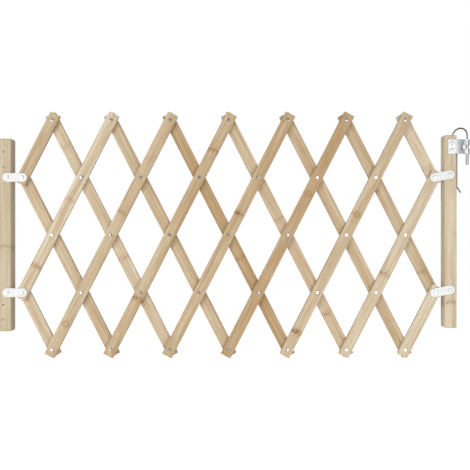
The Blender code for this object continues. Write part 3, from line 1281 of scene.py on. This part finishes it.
@dataclass
class LinkPlates:
    """The white plates that join the lattice to the posts.

    Attributes:
        finish: the plastic.
        pitch: screw to screw.
        length: overall length.
        width: overall width.
        easing: radius of the edges.
        panel: depth of the moulded panel between the screws.
        panel_inset: from a screw to the panel.
        panel_border: from the plate's side to the panel.
        panel_corner: radius of the panel's corners.
        hole: radius of the screw holes.
    """

    finish: PlasticFinish
    pitch: float = 35.0 * MM
    length: float = 57.5 * MM
    width: float = 20.4 * MM
    easing: float = 0.9 * MM
    panel: float = 0.4 * MM
    panel_inset: float = 6.4 * MM
    panel_border: float = 3.5 * MM
    panel_corner: float = 2.2 * MM
    hole: float = 2.3 * MM

    def model(self, thick: float) -> Piece:
        """Model a plate along X about its middle, with its front face on Y = 0.

        Args:
            thick: its thickness.

        Returns:
            The plate.
        """
        obj = add_block((self.length, thick, self.width), (0, thick / 2, 0))
        round_edges(obj, Axis.Y, 0.995 * self.width / 2, 14)
        round_edges(obj, Axis.Y, self.easing, 3, others=True)
        panel = add_block((self.pitch - 2 * self.panel_inset, 2 * self.panel,
                           self.width - 2 * self.panel_border), (0, 0, 0))
        round_edges(panel, Axis.Y, self.panel_corner, 5)
        holes = [add_drill(self.hole, (side * self.pitch / 2, thick / 2, 0), 3 * thick)
                 for side in (-1, 1)]
        carve(obj, [panel, *holes])
        return obj

    def build(self) -> None:
        """Model a plate once and copy it to its four places."""
        low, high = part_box("link_upper_left")
        master = self.model(high.y - low.y)
        plastic = self.finish.material("link_plastic")
        rise = joint_place("right_post_hinge") - joint_place("link_upper_right_hinge")
        tilts = {"left": 0.0, "right": -atan2(rise.z, rise.x)}
        for height in ("upper", "lower"):
            for side, tilt in tilts.items():
                name = f"link_{height}_{side}"
                middle = middle_of(name)
                obj = copy_to(master, (middle.x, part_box(name)[0].y, middle.z), (0, tilt, 0))
                hand_over(obj, name, name, plastic)
        bpy.data.objects.remove(master)


# ---- Posts ----------------------------------------------------------------------------------


@dataclass
class Post:
    """A square bamboo post with rounded edges and slightly crowned ends.

    Attributes:
        name: the CAD node.
        finish: the bamboo.
        ring: height of the cane's node, from the post's middle.
        tone: how honey-coloured it is.
        seed: makes its grain its own.
        edge: radius of the upright edges.
        rim: radius of the ends' edges.
        crown: how far the ends stand up in their middle.
        hole: radius of the screw holes.
        play: half the extra length of the lower link screw's slot, in X and Z.
        clearance: room beyond a screw's tip.
    """

    name: str
    finish: BambooFinish
    ring: float
    tone: float
    seed: int
    edge: float = 4.4 * MM
    rim: float = 3.2 * MM
    crown: float = 0.9 * MM
    hole: float = 2.3 * MM
    play: tuple[float, float] = (0.0, 3.0 * MM)
    clearance: float = 0.5 * MM

    # The crowned ends' steps: how much narrower each is, and its share of the rise.
    CROWN_STEPS = ((0.82, 0.5), (0.75, 0.3), (0.5, 0.2))

    def block(self) -> Piece:
        """Model the post without its holes.

        Returns:
            The post.
        """
        low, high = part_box(self.name)
        size = high - low
        middle = middle_of(self.name)
        obj = add_block((size.x, size.y, size.z - 2 * self.crown), middle)
        round_edges(obj, Axis.Z, self.edge, 5)
        round_edges(obj, Axis.Z, self.rim, 3, others=True)
        with editing(obj):
            for side in (-1, 1):
                pick_faces(obj, lambda spot, normal: side * normal.z > 0.999)
                for shrink, share in self.CROWN_STEPS:
                    bpy.ops.mesh.extrude_region_move(
                        TRANSFORM_OT_translate={"value": (0, 0, side * share * self.crown)})
                    bpy.ops.transform.resize(value=(shrink, shrink, 1), center_override=middle)
        return obj

    def bore(self, screw: str, face: float) -> Piece:
        """A cutter for a screw, a little longer than the screw.

        Args:
            screw: the screw's node.
            face: depth of the face that the screw goes into.

        Returns:
            The cutter.
        """
        low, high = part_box(screw)
        spot = middle_of(screw)
        depth = max(high.y - face, face - low.y)
        return add_drill(self.hole, (spot.x, face, spot.z), 2 * (depth + self.clearance))

    def holes(self) -> list[Piece]:
        """Cutters for the link screws: a round hole above and a slot below.

        Returns:
            The cutters.
        """
        side = self.name.split("_")[0]
        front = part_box(self.name)[0].y
        return [self.bore(f"link_screw_upper_{side}", front),
                self.slot(f"link_screw_lower_{side}", front)]

    def slot(self, screw: str, front: float) -> Piece:
        """A rounded cutter for the lower link screw, which moves as the gate folds.

        Args:
            screw: the screw's node.
            front: depth of the post's front face.

        Returns:
            The cutter.
        """
        spot = middle_of(screw)
        length = 2 * (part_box(screw)[1].y - front + self.clearance)
        play_x, play_z = self.play
        wide = 2 * (self.hole + play_x)
        obj = add_block((wide, length, 2 * (self.hole + play_z)), (spot.x, front, spot.z))
        round_edges(obj, Axis.Y, 0.49 * wide, 6)
        return obj

    def build(self) -> None:
        """Model, bore and dress the post."""
        obj = self.block()
        carve(obj, self.holes())
        low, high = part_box(self.name)
        half = (high.z - low.z) / 2
        grain = Grain(tuple(middle_of(self.name)), -pi / 2, (-half, half), ((self.ring, 0.5),),
                      (), self.tone, self.seed)
        hand_over(obj, self.name, self.name,
                  self.finish.material("bamboo_" + self.name, grain))


@dataclass
class HingePost(Post):
    """The wall-side post, bored right through for its wall screws.

    Attributes:
        wall_hole: radius of the wall holes.
        wall_x: their place across the post, from its middle.
        wall_z: their heights, from its middle.
    """

    wall_hole: float = 1.8 * MM
    wall_x: float = -4.2 * MM
    wall_z: tuple[float, ...] = (0.193, 0.158, -0.162, -0.197)

    def holes(self) -> list[Piece]:
        """Cutters for the link screws and the wall screws."""
        x, y, z = middle_of(self.name)
        return super().holes() + [add_drill(self.wall_hole, (x + self.wall_x, y, z + height),
                                            60 * MM) for height in self.wall_z]


@dataclass
class FreePost(Post):
    """The latch-side post, bored for the screws of its bracket and of the wire's guide."""

    def holes(self) -> list[Piece]:
        """Cutters for the link, bracket and guide screws."""
        faces = zip(("bracket", "guide"), (corner.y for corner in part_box(self.name)))
        return super().holes() + [self.bore(f"{kind}_screw_{number}", face)
                                  for kind, face in faces for number in (1, 2)]


# ---- Latch ----------------------------------------------------------------------------------


@dataclass
class Latch:
    """Bracket, drop pin, wire handle and guide on the free post.

    Heights are from the bracket's middle, and X is from the post's middle.

    Attributes:
        sheet: the finish of bracket and guide.
        pin_finish: the finish of the pin.
        wire_finish: the finish of the wire.
        thick: the sheet's thickness.
        bends: X of each bend of the bracket, and how far back it is there.
        knuckle: radius of the knuckles' bore.
        eye_slot: bottom and top of the gap between the knuckles.
        hole: radius of the screw holes.
        wire_radius: radius of the wire.
        socket: depth of the pin's socket.
        arch_foot: the arch's rear foot: X, and how far behind the post's front.
        arch_rise: how far the arch stands above the post.
        leg_x: X of the wire's straight leg.
        bend_end: height at which the wire has bent over to its leg.
        leg_bottom: height of the leg's lower end.
        tip: X and Z of the bent end's points, from there.
    """

    sheet: SheetFinish
    pin_finish: SteelFinish
    wire_finish: SteelFinish
    thick: float = 1.5 * MM
    bends: tuple[tuple[float, float], ...] = ((17.1 * MM, 0.0), (28.6 * MM, 2.4 * MM))
    knuckle: float = 3.9 * MM
    eye_slot: tuple[float, float] = (-5.0 * MM, 3.5 * MM)
    hole: float = 2.3 * MM
    wire_radius: float = 1.8 * MM
    socket: float = 10.0 * MM
    arch_foot: tuple[float, float] = (16.0 * MM, 34.0 * MM)
    arch_rise: float = 18.0 * MM
    leg_x: float = 26.0 * MM
    bend_end: float = 8.5 * MM
    leg_bottom: float = -90.0 * MM
    tip: tuple[tuple[float, float], ...] = ((1.2 * MM, -3.0 * MM), (3.0 * MM, -5.5 * MM),
                                            (9.8 * MM, -14.7 * MM))

    def __post_init__(self) -> None:
        """Read the latch's places from the frame."""
        low, self.post_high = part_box("right_post")
        self.post_x = middle_of("right_post").x
        self.rear_y = low.y + self.arch_foot[1]
        self.level = middle_of("latch_bracket").z
        self.pin = middle_of("latch_pin")

    def sheet_part(self, node: str, bends: Sequence[tuple[float, float]], eye: Vector,
                   roll: tuple[float, float, int], gaps: Sequence[Piece] = ()) -> Piece:
        """Model a rolled sheet part, bored for its two screws, with its cut edges broken.

        Args:
            node: the CAD node.
            bends: world X of each bend, and how far back of the plate it is.
            eye: the roll's middle, as (x, y).
            roll: the roll's radius to the sheet's middle, its sweep and its number of flats.
            gaps: cutters for its other openings.

        Returns:
            The part.
        """
        low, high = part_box(node)
        plate_y = low.y + self.thick / 2
        points = [Vector((low.x, plate_y))] + [Vector((x, plate_y + back)) for x, back in bends]
        radius, sweep, steps = roll
        obj = RolledSheet(tuple(points), eye, radius, sweep, low.z, high.z, self.thick,
                          steps).build()
        screws = [middle_of(f"{node.split('_')[1]}_screw_{number}") for number in (1, 2)]
        carve(obj, [*gaps, *(add_drill(self.hole, (spot.x, plate_y, spot.z), 8 * MM)
                             for spot in screws)])
        apply_modifier(obj, "BEVEL", width=0.22 * MM, segments=2, limit_method="ANGLE",
                       angle_limit=radians(40))
        return obj

    def bracket(self) -> Piece:
        """Model the bracket: a plate rolled into two knuckles with a gap between them.

        Returns:
            The bracket.
        """
        bends = [(self.post_x + x, back) for x, back in self.bends]
        bottom, top = (self.level + edge for edge in self.eye_slot)
        wide, deep = 30 * MM, 40 * MM
        gap = add_block((wide, deep, top - bottom),
                        (bends[-1][0] + wide / 2, self.pin.y, (bottom + top) / 2))
        return self.sheet_part("latch_bracket", bends, self.pin.xy,
                               (self.knuckle + self.thick / 2, radians(300), 28), [gap])

    def guide(self) -> Piece:
        """Model the strap on the post's back that the wire slides in.

        Returns:
            The guide.
        """
        eye = Vector((self.post_x + self.leg_x, self.rear_y))
        radius = eye.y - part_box("bail_guide")[0].y - self.thick / 2
        return self.sheet_part("bail_guide", [(self.post_high.x, 0.0)], eye,
                               (radius, radians(290), 24))

    def drop_pin(self) -> Piece:
        """Model the pin: a round bar with a tapered tip and a socket for the wire.

        Returns:
            The pin, in its place.
        """
        low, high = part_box("latch_pin")
        radius = (high.x - low.x) / 2
        bore = self.wire_radius + 0.5 * MM
        top, bottom = high.z - self.pin.z, low.z - self.pin.z
        profile = [(0.45 * radius, bottom), (0.72 * radius, bottom + 0.3 * MM),
                   (radius, bottom + 2.2 * MM), (radius, top - 0.5 * MM),
                   (radius - 0.5 * MM, top), (bore, top), (bore, top - self.socket),
                   (0.3 * bore, top - self.socket)]
        obj = turned_piece(profile, 32)
        obj.rotation_euler = (pi / 2, 0, 0)
        obj.location = self.pin
        return fix_place(obj)

    def route(self) -> list[Vector]:
        """The wire's centre line: out of the pin, over the post in an arch, down behind it.

        Returns:
            Its points.
        """
        pin = self.pin.xy
        foot = Vector((self.post_x + self.arch_foot[0], self.rear_y))
        leg = Vector((self.post_x + self.leg_x, self.rear_y))
        middle, reach = (pin + foot) / 2, (pin - foot) / 2
        spring = self.post_high.z
        points = [Vector((*pin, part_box("latch_pin")[1].z - self.socket + 1 * MM))]
        arch_steps, bend_steps = 26, 12
        for step in range(arch_steps + 1):
            angle = pi * step / arch_steps
            points.append(Vector((*(middle + reach * cos(angle)),
                                  spring + self.arch_rise * sin(angle))))
        fall = self.level + self.bend_end - spring
        for step in range(1, bend_steps + 1):
            share = step / bend_steps
            flat = foot.lerp(leg, (1 - cos(pi * share)) / 2)
            points.append(Vector((*flat, spring + share * fall)))
        bottom = Vector((*leg, self.level + self.leg_bottom))
        return points + [bottom] + [bottom + Vector((x, 0, z)) for x, z in self.tip]

    def bail(self) -> Piece:
        """Model the wire handle along its route.

        Returns:
            The wire.
        """
        bpy.ops.object.select_all(action="DESELECT")
        bpy.ops.curve.primitive_bezier_curve_add()
        curve = bpy.context.object.data
        curve.splines.clear()
        route = self.route()
        spline = curve.splines.new("POLY")
        spline.points.add(len(route) - 1)
        for point, spot in zip(spline.points, route):
            point.co = (*spot, 1)
        curve.bevel_depth = self.wire_radius
        curve.bevel_resolution = 4
        curve.use_fill_caps = True
        take_up(bpy.context.object)
        bpy.ops.object.convert(target="MESH")
        obj = bpy.context.object
        apply_modifier(obj, "WELD", merge_threshold=0.01 * MM)
        return obj

    def build(self) -> None:
        """Model and dress the latch."""
        zinc = self.sheet.material("latch_zinc")
        hand_over(self.bracket(), "latch_bracket", "right_post", zinc)
        hand_over(self.guide(), "bail_guide", "right_post", zinc)
        hand_over(self.drop_pin(), "latch_pin", "latch_pin",
                  self.pin_finish.material("pin_steel"))
        hand_over(self.bail(), "pin_bail", "latch_pin",
                  self.wire_finish.material("wire_steel"), sharp=50.0)


# ---- Studio ---------------------------------------------------------------------------------


@dataclass
class Studio:
    """A pale floor, a key light, soft boxes in front and behind, and the camera.

    Attributes:
        distance: from the camera to the gate's front.
        lens: the camera's focal length, in millimetres.
        centre_x: X of the middle of the view.
        floor_drop: from the gate's middle down to the floor.
        floor_radius: radius of the floor.
        fill: brightness of the room.
    """

    distance: float = 1.40
    lens: float = 46.2
    centre_x: float = 0.534
    floor_drop: float = 0.62
    floor_radius: float = 5.0
    fill: float = 0.33

    # Each light's place, its width and height, and its power in watts.
    LIGHTS = {
        "key": ((-1.90, -2.60, 1.60), (0.55, 0.55), 24.0),
        "left_soft_box": ((-0.72, -1.45, -0.10), (1.2, 1.2), 13.5),
        "right_soft_box": ((1.25, -1.45, -0.15), (1.0, 1.2), 12.3),
        "back_soft_box": ((0.55, 2.20, 0.40), (1.6, 1.2), 9.0),
    }

    def camera(self) -> None:
        """Set the camera up square to the gate, level with its middle."""
        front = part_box("front_bar_1")[0].y
        bpy.ops.object.camera_add(location=(self.centre_x, front - self.distance, 0),
                                  rotation=(pi / 2, 0, 0))
        camera = bpy.context.object
        camera.data.lens = self.lens
        camera.data.sensor_width = 36
        bpy.context.scene.camera = camera

    def lights(self) -> None:
        """Set up the lights, which all face the gate's middle."""
        for name, (place, size, power) in self.LIGHTS.items():
            aim = Vector((self.centre_x, 0, 0)) - Vector(place)
            bpy.ops.object.light_add(type="AREA", location=place,
                                     rotation=aim.to_track_quat("-Z", "Y").to_euler())
            light = bpy.context.object
            light.name = name
            light.data.shape = "RECTANGLE"
            light.data.size, light.data.size_y = size
            light.data.energy = power
            light.visible_camera = False

    def floor(self) -> None:
        """Lay a round pale floor, split by an inset into a middle disc and an outer ring."""
        bpy.ops.mesh.primitive_circle_add(vertices=64, radius=self.floor_radius,
                                          fill_type="NGON",
                                          location=(self.centre_x, 0, -self.floor_drop))
        obj = fix_place(bpy.context.object)
        with editing(obj):
            bpy.ops.mesh.select_all(action="SELECT")
            bpy.ops.mesh.inset(thickness=0.8 * self.floor_radius)
        obj.name = "studio_floor"
        graph = Graph("studio_floor")
        seen = graph.add("LightPath").outputs["Is Camera Ray"]
        cloud = graph.math("MULTIPLY", graph.noise(graph.place(), (3, 3, 3)), 0.04)
        obj.data.materials.append(graph.dress(
            Base_Color=graph.mix(cloud, paint(244, 244, 243), paint(225, 225, 224)),
            Roughness=0.9, Emission_Color=(1, 1, 1, 1),
            Emission_Strength=graph.math("MULTIPLY", seen, 0.75)))

    def room(self) -> None:
        """Surround the gate with white that lights it only as a dim room would."""
        world = bpy.data.worlds.new("studio_room")
        world.use_nodes = True
        bpy.context.scene.world = world
        tree = world.node_tree
        tree.nodes.clear()
        path = tree.nodes.new("ShaderNodeLightPath")
        mix = tree.nodes.new("ShaderNodeMixShader")
        output = tree.nodes.new("ShaderNodeOutputWorld")
        tree.links.new(path.outputs["Is Camera Ray"], mix.inputs[0])
        for socket, level in ((1, self.fill), (2, 1.0)):
            white = tree.nodes.new("ShaderNodeBackground")
            white.inputs["Color"].default_value = (level, level, level, 1)
            tree.links.new(white.outputs[0], mix.inputs[socket])
        tree.links.new(mix.outputs[0], output.inputs["Surface"])

    def build(self) -> None:
        """Set up the whole studio."""
        self.camera()
        self.floor()
        self.room()
        self.lights()
        bpy.context.scene.view_settings.view_transform = "Standard"


def main() -> None:
    """Build the gate and its studio."""
    logging.basicConfig(level=logging.INFO, format="%(message)s")
    grid = Grid.from_frame()
    bamboo = BambooFinish()
    steel = SteelFinish()
    greyed = replace(bamboo, pale=paint(199, 188, 163))
    HingePost("left_post", greyed, ring=-0.0255, tone=0.16, seed=41).build()
    FreePost("right_post", bamboo, ring=-0.163, tone=0.05, seed=42,
             play=(1.6 * MM, 3.0 * MM)).build()
    Slats(grid, bamboo).build()
    Rivets(grid, steel).build()
    Screws(steel).build()
    LinkPlates(PlasticFinish()).build()
    wire = SteelFinish(bright=paint(150, 150, 150), dull=paint(105, 105, 105),
                       roughness=(0.22, 0.40), scratches=(2500, 2500, 160))
    pin = SteelFinish(bright=paint(196, 196, 196), dull=paint(150, 150, 151),
                      roughness=(0.24, 0.40), scratches=(300, 300, 1600))
    Latch(SheetFinish(), pin, wire).build()
    Studio().build()


if __name__ == "__main__":
    main()
